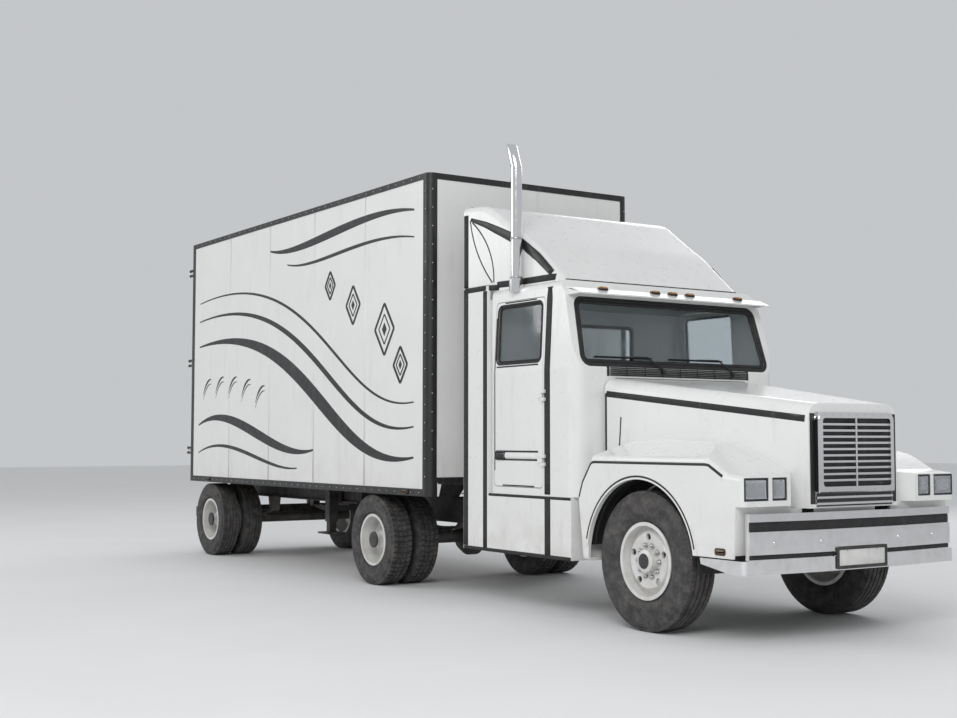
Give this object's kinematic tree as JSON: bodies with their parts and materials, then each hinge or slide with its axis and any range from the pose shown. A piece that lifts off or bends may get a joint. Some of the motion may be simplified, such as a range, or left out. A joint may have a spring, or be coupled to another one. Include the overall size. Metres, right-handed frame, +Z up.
{
  "type": "articulated lorry",
  "caption": "Bonneted two-axle tractor with day cab, roof fairing and stack, coupled to a short single-axle box semi-trailer; doors, hood, steering and pivot move.",
  "frame": {"origin": "middle of the lorry's footprint, on the ground", "axes": "+X forward, +Y to the driver's left, +Z up"},
  "size_m": [10.384, 2.478, 4.1075],
  "materials": {
    "white_paint": "gloss enamel",
    "box_white": "gloss enamel on flat panels",
    "black_frame": "semi-gloss chassis paint",
    "bright": "polished",
    "rim_paint": "gloss",
    "tyre": "worn rubber",
    "glass": "tinted",
    "lens": "clear lens",
    "iron": "bare and oily",
    "interior": "grained",
    "seat": "woven",
    "alloy": "brushed",
    "boards": "worn hardwood",
    "rail_black": "semi-gloss"
  },
  "bodies": {
    "tractor": {"frame_rails": "black_frame", "front_axle": "iron", "suspension": "iron", "drive_axle": "iron", "engine_block": "iron", "radiator": "alloy", "fuel_tanks": "alloy", "fifth_wheel": "iron", "cab_shell": "white_paint", "cab_glass": "glass", "sun_visor": "rail_black", "roof_fairing": "white_paint", "side_fairings": "white_paint", "dashboard": "interior", "steering_wheel": "interior", "seats": "seat", "exhaust_stack": "bright", "bumper": "bright"},
    "hood": {"hood_shell": "white_paint", "fenders": "white_paint", "headlamps": "lens", "grille": "bright"},
    "trailer": {"box_frame": "rail_black", "box_sides": "box_white", "box_front_wall": "box_white", "box_roof": "alloy", "box_floor": "boards", "trailer_subframe": "black_frame", "trailer_axle": "iron", "landing_gear": "black_frame", "rear_guard": "black_frame"},
    "knuckle_left": {"knuckle_left": "iron"},
    "front_wheel_left": {"front_tyre_left": "tyre", "front_rim_left": "rim_paint"},
    "drive_wheels_left": {"drive_tyres_left": "tyre", "drive_rims_left": "rim_paint"},
    "trailer_wheels_left": {"trailer_tyres_left": "tyre", "trailer_rims_left": "rim_paint"},
    "cab_door_left": {"cab_door_left": "white_paint", "door_glass_left": "glass"},
    "rear_door_left": {"rear_door_left": "box_white"},
    "knuckle_right": {"knuckle_right": "iron"},
    "front_wheel_right": {"front_tyre_right": "tyre", "front_rim_right": "rim_paint"},
    "drive_wheels_right": {"drive_tyres_right": "tyre", "drive_rims_right": "rim_paint"},
    "trailer_wheels_right": {"trailer_tyres_right": "tyre", "trailer_rims_right": "rim_paint"},
    "cab_door_right": {"cab_door_right": "white_paint", "door_glass_right": "glass"},
    "rear_door_right": {"rear_door_right": "box_white"}
  },
  "joints": [
    {"name": "hood_tilt", "type": "hinge", "parent": "tractor", "child": "hood", "pos_m": [5.072, 0, 1.01], "axis": [0, 1, 0], "range_deg": [0, 60]},
    {"name": "trailer_pivot", "type": "hinge", "parent": "tractor", "child": "trailer", "pos_m": [0.022, 0, 1.05], "axis": [0, 0, 1], "range_deg": [-90, 90]},
    {"name": "steer_left", "type": "hinge", "parent": "tractor", "child": "knuckle_left", "pos_m": [3.992, 0.83, 0.54], "axis": [0, 0, 1], "range_deg": [-35, 35]},
    {"name": "front_roll_left", "type": "hinge", "parent": "knuckle_left", "child": "front_wheel_left", "pos_m": [3.992, 0.975, 0.54], "axis": [0, 1, 0], "continuous": true},
    {"name": "drive_roll_left", "type": "hinge", "parent": "tractor", "child": "drive_wheels_left", "pos_m": [-0.158, 0.94, 0.455], "axis": [0, 1, 0], "continuous": true},
    {"name": "trailer_roll_left", "type": "hinge", "parent": "trailer", "child": "trailer_wheels_left", "pos_m": [-4.458, 0.94, 0.455], "axis": [0, 1, 0], "continuous": true},
    {"name": "cab_door_left_swing", "type": "hinge", "parent": "tractor", "child": "cab_door_left", "pos_m": [2.739, 1.165, 1.575], "axis": [0, 0, -1], "range_deg": [0, 70]},
    {"name": "rear_door_left_swing", "type": "hinge", "parent": "trailer", "child": "rear_door_left", "pos_m": [-5.178, 1.225, 2.5], "axis": [0, 0, -1], "range_deg": [0, 265]},
    {"name": "steer_right", "type": "hinge", "parent": "tractor", "child": "knuckle_right", "pos_m": [3.992, -0.83, 0.54], "axis": [0, 0, 1], "range_deg": [-35, 35]},
    {"name": "front_roll_right", "type": "hinge", "parent": "knuckle_right", "child": "front_wheel_right", "pos_m": [3.992, -0.975, 0.54], "axis": [0, 1, 0], "continuous": true},
    {"name": "drive_roll_right", "type": "hinge", "parent": "tractor", "child": "drive_wheels_right", "pos_m": [-0.158, -0.94, 0.455], "axis": [0, 1, 0], "continuous": true},
    {"name": "trailer_roll_right", "type": "hinge", "parent": "trailer", "child": "trailer_wheels_right", "pos_m": [-4.458, -0.94, 0.455], "axis": [0, 1, 0], "continuous": true},
    {"name": "cab_door_right_swing", "type": "hinge", "parent": "tractor", "child": "cab_door_right", "pos_m": [2.739, -1.165, 1.575], "axis": [0, 0, 1], "range_deg": [0, 70]},
    {"name": "rear_door_right_swing", "type": "hinge", "parent": "trailer", "child": "rear_door_right", "pos_m": [-5.178, -1.225, 2.5], "axis": [0, 0, 1], "range_deg": [0, 265]}
  ],
  "couplings": [
    {"joint": "steer_right", "follows": "steer_left", "ratio": 1}
  ]
}
